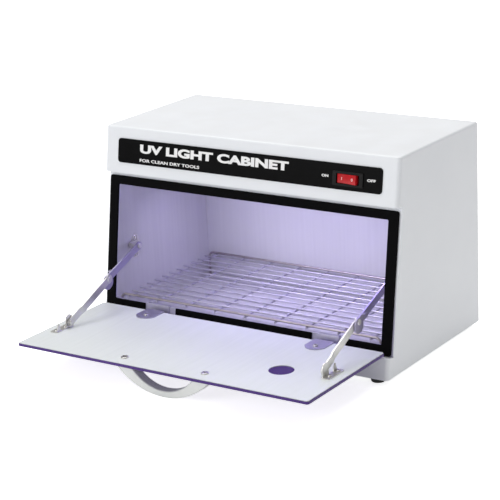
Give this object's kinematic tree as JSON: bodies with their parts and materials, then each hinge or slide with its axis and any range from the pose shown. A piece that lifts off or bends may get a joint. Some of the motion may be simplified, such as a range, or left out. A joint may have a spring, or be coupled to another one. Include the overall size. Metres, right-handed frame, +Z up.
{
  "type": "ultraviolet sterilizing cabinet",
  "caption": "Benchtop steel cabinet with an ultraviolet lamp, wire rack, drop-down tinted door on folding stays, rubber door seal and rocker switch.",
  "frame": {"origin": "middle of the footprint at rest, with the door open, on the surface that the feet stand on", "axes": "+X along the cabinet's width, to the right as seen from the front; +Y to its back; +Z up"},
  "size_m": [0.4, 0.3778, 0.249],
  "materials": {
    "white_paint": "smooth off-white powder coat",
    "grey_zinc": "zinc plated sheet",
    "brushed_liner": "vertical brushed grain",
    "bright_reflector": "polished",
    "lamp_glass": "clear quartz with a violet glow",
    "lamp_cap_metal": "spun metal",
    "white_socket": "moulded",
    "dark_steel": "laminated core, varnished",
    "wire_insulation": "insulated leads",
    "black_plastic": "moulded",
    "brass_contact": "plated contact",
    "black_plate": "satin black with white lettering",
    "red_rocker": "translucent red",
    "black_rubber": "soft extruded rubber",
    "violet_acrylic": "polished tinted acrylic sheet",
    "white_handle": "moulded",
    "nickel_screws": "nickel plated",
    "plated_steel": "nickel plated pressings",
    "rack_chrome": "chromed wire"
  },
  "bodies": {
    "cabinet": {"back_panel": "white_paint", "back_panel_screws": "nickel_screws", "ballast": "dark_steel", "base_plate": "grey_zinc", "chamber_back": "brushed_liner", "chamber_ceiling": "brushed_liner", "chamber_wrap": "brushed_liner", "control_plate": "black_plate", "door_gasket": "black_rubber", "foot_screws": "grey_zinc", "front_foot_left": "black_rubber", "front_foot_right": "black_rubber", "front_frame": "brushed_liner", "hinge_fixed_leaf_left": "plated_steel", "hinge_fixed_leaf_right": "plated_steel", "hinge_leaf_screws": "grey_zinc", "hinge_pin_left": "plated_steel", "hinge_pin_right": "plated_steel", "inlet_blades": "brass_contact", "inlet_screws": "nickel_screws", "lamp_reflector": "bright_reflector", "lamp_socket_left": "white_socket", "lamp_socket_right": "white_socket", "outer_casing": "white_paint", "power_inlet": "black_plastic", "rear_foot_left": "black_rubber", "rear_foot_right": "black_rubber", "starter": "lamp_cap_metal", "starter_holder": "white_socket", "stay_bracket_screws": "grey_zinc", "stay_wall_bracket_left": "plated_steel", "stay_wall_bracket_right": "plated_steel", "switch_body": "black_plastic", "switch_terminals": "brass_contact", "terminal_block": "white_socket", "uv_lamp_caps": "lamp_cap_metal", "uv_lamp_tube": "lamp_glass", "wiring": "wire_insulation"},
    "door": {"door_panel": "violet_acrylic", "door_liner": "brushed_liner", "door_handle": "white_handle", "handle_screws": "nickel_screws", "hinge_door_leaf_left": "plated_steel", "hinge_door_leaf_right": "plated_steel", "door_leaf_screws": "nickel_screws", "stay_door_bracket_left": "plated_steel", "stay_door_bracket_right": "plated_steel", "door_bracket_screws": "nickel_screws"},
    "switch_rocker_body": {"switch_rocker": "red_rocker"},
    "rack": {"rack_rails": "rack_chrome", "rack_wires": "rack_chrome"},
    "left_upper_arm": {"stay_upper_arm_left": "plated_steel", "stay_upper_rivet_left": "plated_steel"},
    "left_lower_arm": {"stay_lower_arm_left": "plated_steel", "stay_lower_rivet_left": "plated_steel"},
    "right_upper_arm": {"stay_upper_arm_right": "plated_steel", "stay_upper_rivet_right": "plated_steel"},
    "right_lower_arm": {"stay_lower_arm_right": "plated_steel", "stay_lower_rivet_right": "plated_steel"}
  },
  "joints": [
    {"name": "door_hinge", "type": "hinge", "parent": "cabinet", "child": "door", "pos_m": [0, -0.02731, 0.03237], "axis": [-1, 0, 0], "range_deg": [0, 99.35]},
    {"name": "left_upper_stay", "type": "hinge", "parent": "cabinet", "child": "left_upper_arm", "pos_m": [-0.17255, 0.0175, 0.0982], "axis": [-1, 0, 0], "range_deg": [0, 174.38]},
    {"name": "left_lower_stay", "type": "hinge", "parent": "door", "child": "left_lower_arm", "pos_m": [-0.17205, -0.1205, 0.0435], "axis": [-1, 0, 0], "range_deg": [-80.67, 0]},
    {"name": "right_upper_stay", "type": "hinge", "parent": "cabinet", "child": "right_upper_arm", "pos_m": [0.17255, 0.0175, 0.0982], "axis": [-1, 0, 0], "range_deg": [0, 174.38]},
    {"name": "right_lower_stay", "type": "hinge", "parent": "door", "child": "right_lower_arm", "pos_m": [0.17205, -0.1205, 0.0435], "axis": [-1, 0, 0], "range_deg": [-80.67, 0]},
    {"name": "rocker_tilt", "type": "hinge", "parent": "cabinet", "child": "switch_rocker_body", "pos_m": [0.137, 0.00349, 0.21884], "axis": [0, 0.1624, 0.9867], "range_deg": [0, 20]},
    {"name": "rack_lift", "type": "slide", "parent": "cabinet", "child": "rack", "axis": [0, 0, 1], "range_m": [0, 0.025]}
  ],
  "couplings": [
    {"joint": "left_upper_stay", "follows": "door_hinge", "ratio": 1.7548},
    {"joint": "left_lower_stay", "follows": "door_hinge", "ratio": -0.81145},
    {"joint": "right_upper_stay", "follows": "door_hinge", "ratio": 1.7548},
    {"joint": "right_lower_stay", "follows": "door_hinge", "ratio": -0.81145}
  ]
}
